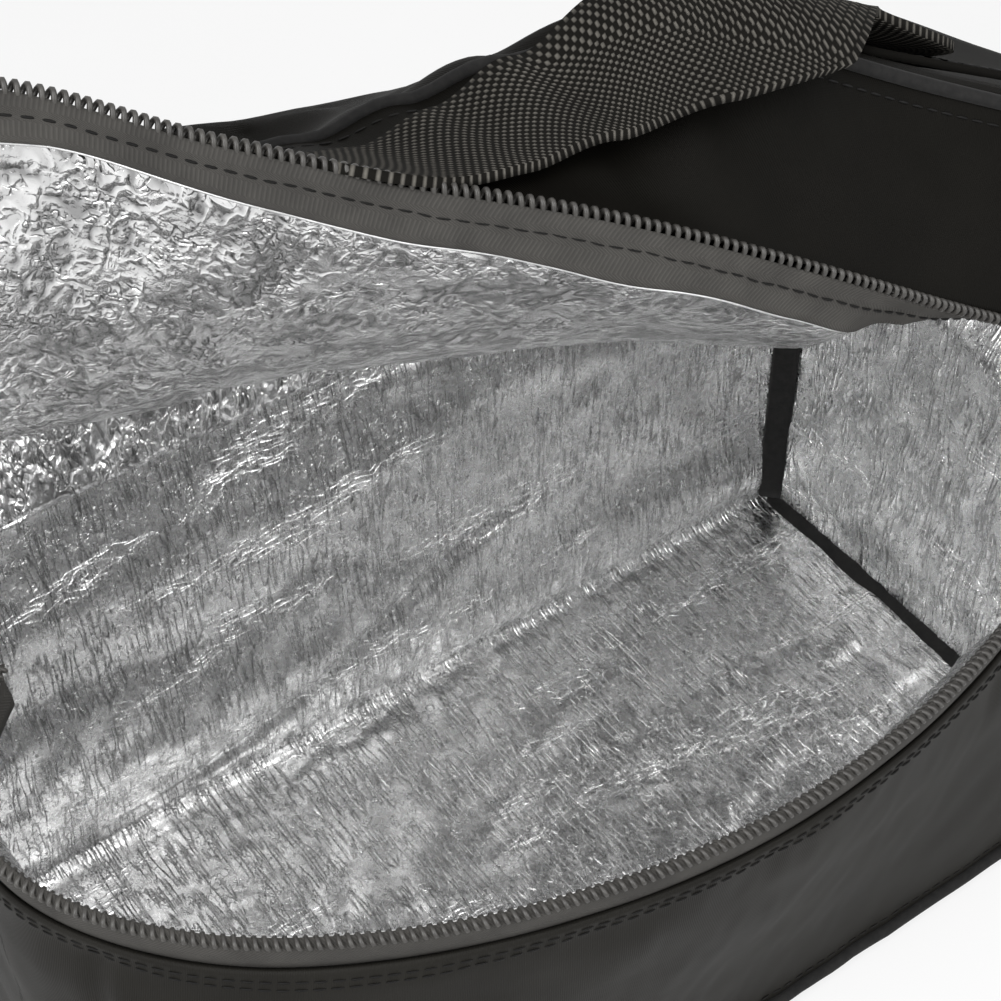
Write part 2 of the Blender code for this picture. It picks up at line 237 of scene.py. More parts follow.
def coil(name, path, outward, material):
    form = {"turnPoints": 12, "wide": 1.35 * mm, "tall": 0.85 * mm, "wire": 0.64 * mm, "sides": 6}
    length = np.linalg.norm(np.diff(path, axis=0), axis=1).sum()
    turns = int(length / bag["coilPitch"])
    count = turns * form["turnPoints"]
    middle = evenly(path, count)
    out = unit(evenly(outward, count))
    ahead = unit(np.gradient(middle, axis=0))
    side = unit(out - ahead * (out * ahead).sum(1, keepdims=True))
    top = np.cross(ahead, side)
    turn = np.linspace(0, turns * 2 * math.pi, count)[:, None]
    line = middle + side * np.cos(turn) * form["wide"] + top * np.sin(turn) * form["tall"]
    spoke = unit(side * np.cos(turn) + top * np.sin(turn))
    return tube(name, line, form["wire"], material, form["sides"], up=spoke)


def stitches(name, path, normals, material, length=3.0 * mm, gap=1.1 * mm, radius=0.34 * mm, lift=0.1 * mm):
    total = np.linalg.norm(np.diff(path, axis=0), axis=1).sum()
    count = max(int(total / (length + gap)), 1)
    samples = 4 * count + 1
    middle = evenly(path, samples)
    normals = unit(evenly(normals, samples))
    verts, faces = [], []
    ringSides = 5
    for k in range(count):
        a, b = middle[4 * k], middle[4 * k + 3]
        n = normals[4 * k + 1]
        ahead = unit((b - a)[None])[0]
        side = np.cross(n, ahead)
        size = np.linalg.norm(b - a)
        base = len(verts)
        for t, r in ((0.0, 0.35), (0.2, 0.9), (0.5, 1.0), (0.8, 0.9), (1.0, 0.35)):
            centre = a + ahead * size * t + n * (lift - radius * 0.9 * (1 - r))
            for s in range(ringSides):
                angle = 2 * math.pi * s / ringSides
                verts.append(centre + (side * math.cos(angle) + n * math.sin(angle)) * radius * r)
        for ring in range(4):
            for s in range(ringSides):
                n1 = (s + 1) % ringSides
                faces.append((base + ring * ringSides + s, base + ring * ringSides + n1,
                              base + (ring + 1) * ringSides + n1, base + (ring + 1) * ringSides + s))
        faces.append(tuple(base + s for s in range(ringSides))[::-1])
        faces.append(tuple(base + 4 * ringSides + s for s in range(ringSides)))
    return newPiece(name, verts, faces, material)


def settle(piece, body, slot, *nodes):
    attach(piece, body)
    if nodes:
        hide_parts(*nodes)


# Materials

def material(name):
    made = bpy.data.materials.new(name)
    made.use_nodes = True
    nodes, links = made.node_tree.nodes, made.node_tree.links
    return made, nodes, links, nodes["Principled BSDF"]


def addNode(nodes, kind, **values):
    node = nodes.new(kind)
    for key, value in values.items():
        if key in node.inputs:
            node.inputs[key].default_value = value
        else:
            setattr(node, key, value)
    return node


def scaledCut(nodes, links, scale):
    where = addNode(nodes, "ShaderNodeUVMap", uv_map="cut")
    mapping = addNode(nodes, "ShaderNodeMapping", Scale=scale)
    links.new(where.outputs["UV"], mapping.inputs["Vector"])
    return mapping.outputs["Vector"]


def colourRamp(nodes, links, source, low, high, start=0.3, end=0.7):
    made = addNode(nodes, "ShaderNodeValToRGB")
    made.color_ramp.elements[0].position = start
    made.color_ramp.elements[0].color = (*low, 1)
    made.color_ramp.elements[1].position = end
    made.color_ramp.elements[1].color = (*high, 1)
    links.new(source, made.inputs["Fac"])
    return made.outputs["Color"]


def addBump(nodes, links, shader, height, strength, distance, before=None):
    made = addNode(nodes, "ShaderNodeBump", Strength=strength, Distance=distance)
    links.new(height, made.inputs["Height"])
    if before is not None:
        links.new(before.outputs["Normal"], made.inputs["Normal"])
    links.new(made.outputs["Normal"], shader.inputs["Normal"])
    return made


def mapRange(nodes, links, source, fromLow, fromHigh, toLow=0.0, toHigh=1.0):
    made = addNode(nodes, "ShaderNodeMapRange")
    for key, value in (("From Min", fromLow), ("From Max", fromHigh), ("To Min", toLow), ("To Max", toHigh)):
        made.inputs[key].default_value = value
    links.new(source, made.inputs["Value"])
    return made.outputs["Result"]


def twoMath(nodes, links, operation, first, second):
    made = addNode(nodes, "ShaderNodeMath", operation=operation)
    for slot, value in enumerate((first, second)):
        if isinstance(value, (int, float)):
            made.inputs[slot].default_value = value
        else:
            links.new(value, made.inputs[slot])
    return made.outputs[0]


def noiseOn(nodes, links, scale, detail=1.0, distortion=0.0):
    made = addNode(nodes, "ShaderNodeTexNoise", Scale=1.0, Detail=detail, Roughness=0.55,
                   Distortion=distortion)
    links.new(scaledCut(nodes, links, scale), made.inputs["Vector"])
    return made.outputs["Fac"]


def cloudOn(nodes, links, scale, detail, roughness=0.5):
    where = addNode(nodes, "ShaderNodeTexCoord")
    made = addNode(nodes, "ShaderNodeTexNoise", Scale=scale, Detail=detail, Roughness=roughness)
    links.new(where.outputs["Object"], made.inputs["Vector"])
    return made.outputs["Fac"]


def creases(nodes, links, form):
    wander = noiseOn(nodes, links, form["scale"], form["detail"], form["distortion"])
    off = twoMath(nodes, links, "ABSOLUTE", twoMath(nodes, links, "SUBTRACT", wander, 0.5), 0.0)
    line = mapRange(nodes, links, off, 0.0, form["width"], 1.0, 0.0)
    where = noiseOn(nodes, links, form["maskScale"], 1.0)
    mask = mapRange(nodes, links, where, form["maskLow"], form["maskLow"] + 0.07)
    return twoMath(nodes, links, "MULTIPLY", line, mask)


def foilMaterial(name, settings):
    made, nodes, links, shader = material(name)
    shader.inputs["Metallic"].default_value = 1.0
    short = creases(nodes, links, settings["short"])
    across = creases(nodes, links, settings["across"])
    sparkle = creases(nodes, links, settings["sparkle"])
    rough = noiseOn(nodes, links, settings["crumpleScale"], 3.0, 0.6)
    zones = mapRange(nodes, links, noiseOn(nodes, links, settings["zoneScale"], 2.0), *settings["zone"])
    crumple = twoMath(nodes, links, "MULTIPLY", rough, zones)
    sunk = twoMath(nodes, links, "MAXIMUM", short, across)
    raised = twoMath(nodes, links, "SUBTRACT", sparkle, sunk)
    folded = twoMath(nodes, links, "MULTIPLY", crumple, settings["crumple"])
    total = twoMath(nodes, links, "ADD", raised, folded)
    swell = noiseOn(nodes, links, settings["broadScale"], 2.0)
    first = addBump(nodes, links, shader, swell, 0.6, settings["swell"])
    addBump(nodes, links, shader, total, 0.9, settings["depth"], first)
    # Base colour: the plateau grey, with the sunk creases painted darker as painted shade and the sparkle
    # ridges painted near white as painted highlight.
    tint = colourRamp(nodes, links, sunk, settings["plateau"], settings["dark"], 0.1, 0.8)
    paintedGlint = addNode(nodes, "ShaderNodeMix", data_type="RGBA")
    links.new(sparkle, paintedGlint.inputs[0])
    links.new(tint, paintedGlint.inputs[6])
    paintedGlint.inputs[7].default_value = (*settings["paintedGlint"], 1)
    links.new(paintedGlint.outputs[2], shader.inputs["Base Color"])
    links.new(mapRange(nodes, links, rough, 0.3, 0.7, *settings["rough"]), shader.inputs["Roughness"])
    return made


def coatedMaterial(name, settings):
    made, nodes, links, shader = material(name)
    cut = scaledCut(nodes, links, (1 / settings["rib"], 1 / settings["rib"], 1))
    ribs = addNode(nodes, "ShaderNodeTexWave", Scale=0.5, Distortion=0.4)
    ribs.bands_direction = settings["bands"]
    links.new(cut, ribs.inputs["Vector"])
    cloud = cloudOn(nodes, links, 26.0, 3.0, 0.6)
    grain = cloudOn(nodes, links, 1500.0, 2.0)
    tint = colourRamp(nodes, links, cloud, settings["dark"], settings["light"])
    links.new(tint, shader.inputs["Base Color"])
    first = addBump(nodes, links, shader, cloud, 0.35, 1.2 * mm)
    second = addBump(nodes, links, shader, ribs.outputs["Fac"], settings["ribStrength"], 0.12 * mm, first)
    addBump(nodes, links, shader, grain, 0.3, 0.05 * mm, second)
    links.new(mapRange(nodes, links, cloud, 0.0, 1.0, *settings["rough"]), shader.inputs["Roughness"])
    shader.inputs["Sheen Weight"].default_value = settings["sheen"]
    shader.inputs["Sheen Roughness"].default_value = 0.5
    shader.inputs["Specular IOR Level"].default_value = settings["shine"]
    return made


def tapeMaterial(name, settings):
    made, nodes, links, shader = material(name)
    cut = addNode(nodes, "ShaderNodeUVMap", uv_map="cut")
    parts = addNode(nodes, "ShaderNodeSeparateXYZ")
    links.new(cut.outputs["UV"], parts.inputs["Vector"])
    zigzag = twoMath(nodes, links, "PINGPONG", parts.outputs["Y"], settings["herringbone"])
    slanted = twoMath(nodes, links, "ADD", parts.outputs["X"], zigzag)
    turned = twoMath(nodes, links, "MULTIPLY", slanted, 2 * math.pi / settings["thread"])
    wave = twoMath(nodes, links, "SINE", turned, 0.0)
    cloud = cloudOn(nodes, links, 90.0, 4.0, 0.6)
    tint = colourRamp(nodes, links, cloud, settings["dark"], settings["light"])
    shade = addNode(nodes, "ShaderNodeMix", data_type="RGBA", blend_type="MULTIPLY", Factor=0.35)
    links.new(tint, shade.inputs[6])
    # The grooves between the threads are painted darker, following the thread bump: painted shade.
    threads = colourRamp(nodes, links, wave, (0.35, 0.35, 0.35), (1, 1, 1), 0.0, 0.6)
    links.new(threads, shade.inputs[7])
    links.new(shade.outputs[2], shader.inputs["Base Color"])
    first = addBump(nodes, links, shader, cloud, 0.3, 0.4 * mm)
    addBump(nodes, links, shader, wave, 0.45, 0.10 * mm, first)
    shader.inputs["Roughness"].default_value = settings["rough"]
    shader.inputs["Sheen Weight"].default_value = settings["sheen"]
    shader.inputs["Specular IOR Level"].default_value = 0.2
    return made


def webbingMaterial(name, settings):
    made, nodes, links, shader = material(name)
    cut = addNode(nodes, "ShaderNodeUVMap", uv_map="cut")
    parts = addNode(nodes, "ShaderNodeSeparateXYZ")
    links.new(cut.outputs["UV"], parts.inputs["Vector"])
    waves = []
    for axis, size in (("X", settings["yarnLong"]), ("Y", settings["yarnWide"])):
        scaled = twoMath(nodes, links, "MULTIPLY", parts.outputs[axis], math.pi / size)
        waves.append(twoMath(nodes, links, "SINE", scaled, 0.0))
    height = twoMath(nodes, links, "MAXIMUM", twoMath(nodes, links, "MULTIPLY", *waves), 0.0)
    fuzz = cloudOn(nodes, links, 700.0, 3.0)
    cloud = cloudOn(nodes, links, 60.0, 2.0)
    # The yarn tops are light and the hollows between them near black: painted shade between the yarns. The
    # cloud patches on top are random tone.
    tint = colourRamp(nodes, links, height, settings["dark"], settings["light"], 0.04, 0.55)
    shade = addNode(nodes, "ShaderNodeMix", data_type="RGBA", blend_type="MULTIPLY", Factor=0.4)
    links.new(tint, shade.inputs[6])
    patches = colourRamp(nodes, links, cloud, (0.6, 0.6, 0.6), (1.1, 1.1, 1.1))
    links.new(patches, shade.inputs[7])
    links.new(shade.outputs[2], shader.inputs["Base Color"])
    first = addBump(nodes, links, shader, height, 1.0, 0.45 * mm)
    addBump(nodes, links, shader, fuzz, 0.35, 0.1 * mm, first)
    shader.inputs["Roughness"].default_value = settings["rough"]
    shader.inputs["Sheen Weight"].default_value = settings["sheen"]
    shader.inputs["Specular IOR Level"].default_value = 0.1
    return made


def plainMaterial(name, settings):
    made, nodes, links, shader = material(name)
    cloud = cloudOn(nodes, links, settings["cloud"], 4.0, 0.6)
    tint = colourRamp(nodes, links, cloud, settings["dark"], settings["light"])
    links.new(tint, shader.inputs["Base Color"])
    addBump(nodes, links, shader, cloud, settings["bump"], settings["depth"])
    links.new(mapRange(nodes, links, cloud, 0.0, 1.0, *settings["rough"]), shader.inputs["Roughness"])
    shader.inputs["Metallic"].default_value = settings.get("metal", 0.0)
    shader.inputs["Sheen Weight"].default_value = settings.get("sheen", 0.0)
    shader.inputs["Specular IOR Level"].default_value = settings.get("shine", 0.5)
    return made


finish = {
    # In both foils the dark colour is painted shade in the creases and the glint colour is a painted highlight
    # on the ridges.
    "foil": foilMaterial("wallFoil", {
        "short": {"scale": (560, 360, 1), "detail": 1.5, "distortion": 0.5, "width": 0.035,
                  "maskScale": (150, 130, 1), "maskLow": 0.46},
        "across": {"scale": (470, 48, 1), "detail": 1.5, "distortion": 0.35, "width": 0.06,
                   "maskScale": (120, 60, 1), "maskLow": 0.40},
        "sparkle": {"scale": (110, 420, 1), "detail": 1.0, "distortion": 0.4, "width": 0.05,
                    "maskScale": (14, 60, 1), "maskLow": 0.57},
        "crumpleScale": (900, 560, 1), "crumple": 1.3,
        "zoneScale": (22, 40, 1), "zone": (0.42, 0.64, 0.12, 0.8),
        "broadScale": (26, 26, 1), "swell": 4 * mm, "depth": 0.26 * mm, "rough": (0.20, 0.34),
        "plateau": (0.72, 0.72, 0.72), "dark": (0.42, 0.42, 0.42), "paintedGlint": (0.92, 0.92, 0.92)}),
    "lidFoil": foilMaterial("lidFoil", {
        "short": {"scale": (420, 260, 1), "detail": 1.0, "distortion": 0.3, "width": 0.10,
                  "maskScale": (90, 80, 1), "maskLow": 0.46},
        "across": {"scale": (200, 110, 1), "detail": 1.0, "distortion": 0.4, "width": 0.14,
                   "maskScale": (60, 50, 1), "maskLow": 0.40},
        "sparkle": {"scale": (230, 120, 1), "detail": 1.0, "distortion": 0.5, "width": 0.16,
                    "maskScale": (50, 50, 1), "maskLow": 0.44},
        "crumpleScale": (520, 330, 1), "crumple": 1.8,
        "zoneScale": (30, 36, 1), "zone": (0.38, 0.58, 0.25, 1.0),
        "broadScale": (34, 24, 1), "swell": 5 * mm, "depth": 0.55 * mm, "rough": (0.14, 0.28),
        "plateau": (0.68, 0.68, 0.68), "dark": (0.36, 0.36, 0.36), "paintedGlint": (0.92, 0.92, 0.92)}),
    "coated": coatedMaterial("coatedFabric", {
        "rib": 0.9 * mm, "bands": "X", "ribStrength": 0.5, "rough": (0.46, 0.62), "sheen": 0.0, "shine": 0.08,
        "dark": (0.0100, 0.0093, 0.0080), "light": (0.0155, 0.0146, 0.0125)}),
    # The lid's cloth is the same fabric as the base, given a darker copy here: painted shade, as the lid faces
    # away from the lamps.
    "coatedLidShaded": coatedMaterial("coatedFabricLidShaded", {
        "rib": 0.9 * mm, "bands": "X", "ribStrength": 0.5, "rough": (0.46, 0.62), "sheen": 0.0, "shine": 0.04,
        "dark": (0.0035, 0.0032, 0.0026), "light": (0.0065, 0.0060, 0.0050)}),
    "tape": tapeMaterial("zipTape", {
        "herringbone": 3.5 * mm, "thread": 1.0 * mm, "rough": 0.85, "sheen": 0.0,
        "dark": (0.044, 0.042, 0.039), "light": (0.066, 0.063, 0.058)}),
    "webbing": webbingMaterial("webbing", {
        "yarnLong": 1.25 * mm, "yarnWide": 1.0 * mm, "rough": 0.9, "sheen": 0.0,
        "dark": (0.0060, 0.0055, 0.0045), "light": (0.120, 0.113, 0.100)}),
    "coil": plainMaterial("coilNylon", {
        "cloud": 300.0, "dark": (0.030, 0.028, 0.026), "light": (0.055, 0.052, 0.047), "bump": 0.1,
        "depth": 0.1 * mm, "rough": (0.35, 0.5)}),
    "binding": plainMaterial("bindingTape", {
        "cloud": 420.0, "dark": (0.006, 0.006, 0.006), "light": (0.016, 0.0155, 0.015), "bump": 0.5,
        "depth": 0.3 * mm, "rough": (0.75, 0.9), "sheen": 0.04, "shine": 0.2}),
    "edge": plainMaterial("foilEdge", {
        "cloud": 500.0, "dark": (0.62, 0.62, 0.62), "light": (0.86, 0.86, 0.86), "bump": 0.3,
        "depth": 0.1 * mm, "rough": (0.25, 0.4), "metal": 1.0}),
    "thread": plainMaterial("sewingThread", {
        "cloud": 900.0, "dark": (0.003, 0.003, 0.003), "light": (0.008, 0.0075, 0.007), "bump": 0.5,
        "depth": 0.15 * mm, "rough": (0.5, 0.7), "shine": 0.15}),
    "foam": plainMaterial("whiteFoam", {
        "cloud": 600.0, "dark": (0.70, 0.70, 0.68), "light": (0.84, 0.84, 0.82), "bump": 0.5,
        "depth": 0.4 * mm, "rough": (0.85, 0.98)}),
    "metal": plainMaterial("zipMetal", {
        "cloud": 250.0, "dark": (0.030, 0.029, 0.028), "light": (0.060, 0.058, 0.056), "bump": 0.15,
        "depth": 0.1 * mm, "rough": (0.28, 0.42), "metal": 0.8}),
}
print("materials made")


# The base's outline: an oval rim over a rectangular foot

def rimPower(degrees):
    if degrees < -50:
        return 2.0 - 0.16 * ramp(-degrees, 70, 110)
    if degrees < -20:
        return 2.0 + 1.5 * (degrees + 50) / 30
    if degrees < 0:
        return 3.5
    if degrees < 20:
        return 3.5 + 2.5 * degrees / 20
    if degrees < 150:
        return 6.0
    return 6.0 - 4.16 * (degrees - 150) / 30


def rayLength(angle, reachX, reachY, power):
    c = abs(math.cos(angle)) / reachX
    s = abs(math.sin(angle)) / reachY
    return (c ** power + s ** power) ** (-1 / power)


def rimRadius(angle):
    reachX = bag["rimRight"] if math.cos(angle) > 0 else bag["rimLeft"]
    reachY = bag["rimRear"] if math.sin(angle) > 0 else bag["rimFront"]
    return rayLength(angle, reachX, reachY, rimPower(math.degrees(angle)))


def footRadius(angle):
    reachY = bag["footY"] if math.sin(angle) > 0 else bag["footFront"]
    return rayLength(angle, bag["footX"], reachY, bag["footPower"])


def baseAngles(count):
    dense = np.linspace(-math.pi, math.pi, 4001)
    line = np.array([(rimRadius(a) * math.cos(a), rimRadius(a) * math.sin(a)) for a in dense])
    run = np.concatenate([[0], np.cumsum(np.linalg.norm(np.diff(line, axis=0), axis=1))])
    return np.interp(np.linspace(0, run[-1], count, endpoint=False), run, dense)


def basePoint(angle, z, inset):
    share = ease(z / bag["zipHeight"]) ** 1.25
    radius = blendTo(footRadius(angle), rimRadius(angle), share)
    near = 1e-3
    a, b = angle - near, angle + near
    ra = blendTo(footRadius(a), rimRadius(a), share)
    rb = blendTo(footRadius(b), rimRadius(b), share)
    tx = rb * math.cos(b) - ra * math.cos(a)
    ty = rb * math.sin(b) - ra * math.sin(a)
    size = math.hypot(tx, ty)
    return Vector((radius * math.cos(angle) - ty / size * inset,
                   radius * math.sin(angle) + tx / size * inset, z))


def fromLeft(angle):
    return angle - 2 * math.pi if angle > math.pi / 2 else angle


def zipAngles(count):
    wide = baseAngles(3000)
    inside = sorted(fromLeft(a) for a in wide if basePoint(a, bag["zipHeight"], 0).y < bag["zipRear"])
    return np.interp(np.linspace(0, len(inside) - 1, count), np.arange(len(inside)), inside)


# The base

shellForm = {
    "columns": 400, "rows": 64, "topEdge": 132.5 * mm, "footRound": 6.0 * mm, "flare": 0.6 * mm,
    "seams": (-2.93, 2.93, 0.28, -0.28), "stitchDrops": (3.2 * mm, 5.4 * mm),
}


def shellSwell(angle, z):
    x, y = math.cos(angle) * 0.16, math.sin(angle) * 0.1
    height = z / bag["zipHeight"]
    belly = 1.2 * mm * math.sin(math.pi * min(max(height, 0), 1))
    folds = 1.6 * mm * ripple(x * 1.4, y * 1.4, z * 2.2, 0.05, 3.0) * (0.3 + 0.7 * height)
    small = 0.5 * mm * ripple(x * 2, y * 2, z, 0.018, 9.0)
    # The seams at both ends pull the cloth into puckers
    pucker = 0.0
    for place in shellForm["seams"]:
        near = abs(angle - place)
        pucker += bump(near, 0, 0.16) * 0.8 * mm * math.sin(z / (5.5 * mm) + 9 * near) * ease(near / 0.05)
        pucker -= 1.5 * mm * bump(near, 0, 0.02)
    edge = ease((shellForm["topEdge"] - z) / (8 * mm))
    return (belly + folds + small + pucker) * edge * ease(z / (10 * mm))


def shellPoint(angle, z, lift=0.0):
    return basePoint(angle, z, -shellSwell(angle, z) - lift)


angles = baseAngles(shellForm["columns"])
levels = []
for step in range(5):
    turn = step / 4 * math.pi / 2
    levels.append([shellForm["footRound"] * (1 - part(turn)) for part in (math.sin, math.cos)])
rows = []
for share in (0.02, 0.35, 0.7):
    rows.append([Vector((*(basePoint(a, 0, 0).xy * share), 0)) for a in angles])
for inset, z in levels:
    rows.append([basePoint(a, z, inset - shellSwell(a, z)) for a in angles])
for z in np.linspace(shellForm["footRound"], shellForm["topEdge"], shellForm["rows"])[1:]:
    rows.append([shellPoint(a, z) for a in angles])
grid = np.array(rows)[::-1]
run = np.concatenate([[0], np.cumsum(np.linalg.norm(np.diff(grid[0], axis=0), axis=1))])
drop = np.concatenate([[0], np.cumsum(np.linalg.norm(np.diff(grid[:, 100], axis=0), axis=1))])
uvs = np.stack(np.meshgrid(run, drop), -1)
shell = sheet("bagShell", grid[:, ::-1], finish["coated"], bag["fabric"], wrap=True, capped=True,
              uvs=uvs[:, ::-1])
settle(shell, "base", "coated_fabric", "outer_shell")
print("shell made", len(shell.data.vertices))

for index, drop in enumerate(shellForm["stitchDrops"]):
    row = [shellPoint(a, shellForm["topEdge"] - drop, 0.05 * mm) for a in angles[::2]]
    row.append(row[0])
    out = [Vector((math.cos(a), math.sin(a), 0)) for a in angles[::2]]
    out.append(out[0])
    line = stitches("rimStitch%d" % index, np.array(row), np.array(out), finish["thread"])
    settle(line, "base", "coated_fabric")

# The zip's lower half: tape, coil
zipForm = {
    "points": 700, "coilDrop": 1.9 * mm, "coilInset": 1.6 * mm, "edgeDrop": 2.6 * mm, "edgeInset": 3.5 * mm,
    "edgeFront": -0.35, "edgeWire": 0.3 * mm, "tapeThick": 0.7 * mm,
    # How far down and how far in the tape runs, in mm
    "profile": ((0.6, 2.1), (1.6, 1.0), (2.6, 0.4), (5, 0.5), (8, 0.9), (10.5, 1.6), (12.5, 2.4), (16, 3.0)),
}
rimAngles = zipAngles(zipForm["points"])


def rimWander(angle):
    return 0.5 * mm * ripple(math.cos(angle), math.sin(angle), 0, 0.2, 5.0)


coilPath = np.array([basePoint(a, bag["zipHeight"] - zipForm["coilDrop"] + rimWander(a), zipForm["coilInset"])
                     for a in rimAngles])
outward = np.array([basePoint(a, 0.14, 0) - basePoint(a, 0.14, 1 * mm) for a in rimAngles])
lowerCoil = coil("lowerCoil", coilPath, outward, finish["coil"])
settle(lowerCoil, "base", "coil", "base_zip_coil")

edgePath = np.array([basePoint(a, bag["zipHeight"] - zipForm["edgeDrop"] + rimWander(a), zipForm["edgeInset"])
                     for a in rimAngles if math.sin(a) < zipForm["edgeFront"]])
rimEdge = tube("rimEdge", edgePath, zipForm["edgeWire"], finish["edge"], sides=6)
settle(rimEdge, "base", "foil")

rows = []
for drop, inset in zipForm["profile"]:
    rows.append([basePoint(a, bag["zipHeight"] - drop * mm + rimWander(a), inset * mm) for a in rimAngles])
lowerTape = sheet("lowerTape", np.array(rows)[:, ::-1], finish["tape"], zipForm["tapeThick"])
settle(lowerTape, "base", "tape", "base_zip_tape")
print("lower zip made")

# The foil lining: walls, floor, and the welt where they meet
liningForm = {
    "columns": 620, "rows": 78, "top": 140.6 * mm, "floor": 9.2 * mm, "inset": 8.9 * mm, "topInset": 3.0 * mm,
    "rearTopInset": 1.7 * mm, "over": 15 * mm, "rearOver": 38 * mm, "mostOut": -1.4 * mm, "rearRise": 0.0195,
    "thick": 0.5 * mm,
}


def atRear(angle):
    return ease((math.sin(angle) - 0.34) / 0.12)


def liningInset(angle, z):
    down = (liningForm["top"] - z) / blendTo(liningForm["over"], liningForm["rearOver"], atRear(angle))
    top = blendTo(liningForm["topInset"], liningForm["rearTopInset"], atRear(angle))
    return blendTo(top, liningForm["inset"], ease(down))


def wallSwell(angle, z):
    x, y = math.cos(angle) * 0.16, math.sin(angle) * 0.1
    rear = ease((math.sin(angle) - 0.3) / 0.4)
    away = ease((z - liningForm["floor"]) / (12 * mm)) * ease((liningForm["top"] - z) / (12 * mm))
    wide = 2.6 * mm * ripple(x, y, z * 2.4, 0.055, 1.0)
    small = 0.9 * mm * ripple(x * 2.2, y * 2.2, z * 1.1, 0.016, 4.0)
    grain = 0.35 * mm * ripple(x * 3.4, y * 3.4, z * 0.8, 0.0075, 6.0)
    crease = rear * 2.2 * mm * bump(z, (48 + 40 * math.cos(angle)) * mm, 3.0 * mm)
    roll = rear * 3.0 * mm * math.sin(z / (19 * mm) + 6 * x)
    total = (wide + small + roll - crease) * away + grain * ease((z - liningForm["floor"]) / (3 * mm))
    return max(total, liningForm["mostOut"])


def wallPoint(angle, z, lift=0.0):
    z = liningForm["floor"] + (z - liningForm["floor"]) * (1 + liningForm["rearRise"] * atRear(angle))
    return basePoint(angle, z, liningInset(angle, z) + wallSwell(angle, z) + lift)


wallAngles = baseAngles(liningForm["columns"])
rows = []
for z in np.linspace(liningForm["floor"], liningForm["top"], liningForm["rows"]):
    rows.append([wallPoint(a, z) for a in wallAngles])
walls = sheet("foilWalls", np.array(rows), finish["foil"], -liningForm["thick"], wrap=True)
settle(walls, "base", "foil", "foil_lining")

floorForm = {
    "columns": 200, "rows": 104, "halfX": 152.5 * mm, "rear": 77.5 * mm, "front": 72.5 * mm, "lift": 0.4 * mm,
}
rows = []
for j in range(floorForm["rows"]):
    row = []
    for i in range(floorForm["columns"]):
        u, v = 2 * i / (floorForm["columns"] - 1) - 1, 2 * j / (floorForm["rows"] - 1) - 1
        x, y = u * floorForm["halfX"], v * (floorForm["rear"] if v > 0 else floorForm["front"])
        edge = min(1 - abs(u), (1 - abs(v)) * 0.5)
        swell = 2.4 * mm * ripple(x * 0.7, y * 1.8, 0, 0.045, 2.0) + 0.9 * mm * ripple(x, y, 0, 0.014, 7.0)
        swell += 0.4 * mm * ripple(x, y * 0.6, 0, 0.006, 8.0)
        welt = 2.2 * mm * bump(1 - abs(v), 0.03, 0.03)
        z = liningForm["floor"] + floorForm["lift"] + abs(swell) * ease(edge / 0.06) + welt
        row.append(Vector((x, y, z)))
    rows.append(row)
floor = sheet("foilFloor", np.array(rows), finish["foil"], liningForm["thick"])
settle(floor, "base", "foil", "foil_lining")
print("lining made", len(walls.data.vertices))

# Foam between cloth and foil: height and inset round its section, in mm
foamForm = {
    "section": ((11, 2.6), (60, 2.6), (112, 2.6), (115, 3.4), (112, 5.2), (60, 5.8), (11, 5.8)),
    "skin": 0.6 * mm, "floorTop": 7.4 * mm, "floorThick": 5.2 * mm, "floorInset": 11 * mm,
}
rows = []
foamAngles = baseAngles(160)
for z, inset in foamForm["section"]:
    rows.append([basePoint(a, z * mm, inset * mm - 0.4 * shellSwell(a, z * mm)) for a in foamAngles])
wallFoam = sheet("wallFoam", np.array(rows), finish["foam"], foamForm["skin"], wrap=True)
settle(wallFoam, "base", "foam", "foam_walls")
rows = []
for share in np.linspace(0.04, 1.0, 10):
    rows.append([Vector((*(basePoint(a, 5 * mm, foamForm["floorInset"]).xy * share), foamForm["floorTop"]))
                 for a in foamAngles])
floorFoam = sheet("floorFoam", np.array(rows)[::-1], finish["foam"], foamForm["floorThick"], wrap=True,
                  capped=True)
settle(floorFoam, "base", "foam", "foam_floor")

# Binding tape over the two end seams
bindForm = {
    "half": 3.9 * mm, "rise": 0.8 * mm, "thick": 0.7 * mm, "rear": 26.5, "front": -27.0, "top": 128 * mm,
    "frontTop": 38 * mm, "cornerX": 151.5 * mm, "cornerRear": 76.5 * mm, "cornerFront": -71.5 * mm,
}


def bindStations(sign):
    stations = []
    rearAngle, frontAngle = math.radians(bindForm["rear"]), math.radians(bindForm["front"])
    if sign < 0:
        rearAngle, frontAngle = math.pi - rearAngle, -math.pi - frontAngle
    for z in np.linspace(bindForm["top"], liningForm["floor"] + 4 * mm, 26):
        spot = wallPoint(rearAngle, z, 1.0 * mm)
        into = Vector((-sign * 0.75, -0.66, 0)).normalized()
        stations.append((spot, into, Vector((0, 0, 1)).cross(into)))
    low = liningForm["floor"] + 1.5 * mm
    corner = Vector((sign * bindForm["cornerX"], bindForm["cornerRear"], low))
    far = Vector((sign * bindForm["cornerX"], bindForm["cornerFront"], low))
    into = Vector((-sign * 0.6, 0, 0.8)).normalized()
    for t in np.linspace(0.02, 0.98, 34):
        spot = corner.lerp(far, t) + Vector((0, 0, 0.5 * mm * ripple(t, 0, 0, 0.12, 2.0)))
        spot = spot + Vector((-sign * 1.2 * mm * abs(ripple(t, 0, 0, 0.2)), 0, 0))
        stations.append((spot, into, Vector((sign * 0.8, 0, 0.6))))
    for z in np.linspace(liningForm["floor"] + 4 * mm, bindForm["frontTop"], 20):
        spot = wallPoint(frontAngle, z, 1.0 * mm)
        into = Vector((-sign * 0.75, 0.66, 0)).normalized()
        stations.append((spot, into, Vector((0, 0, 1)).cross(into) * -1))
    return stations


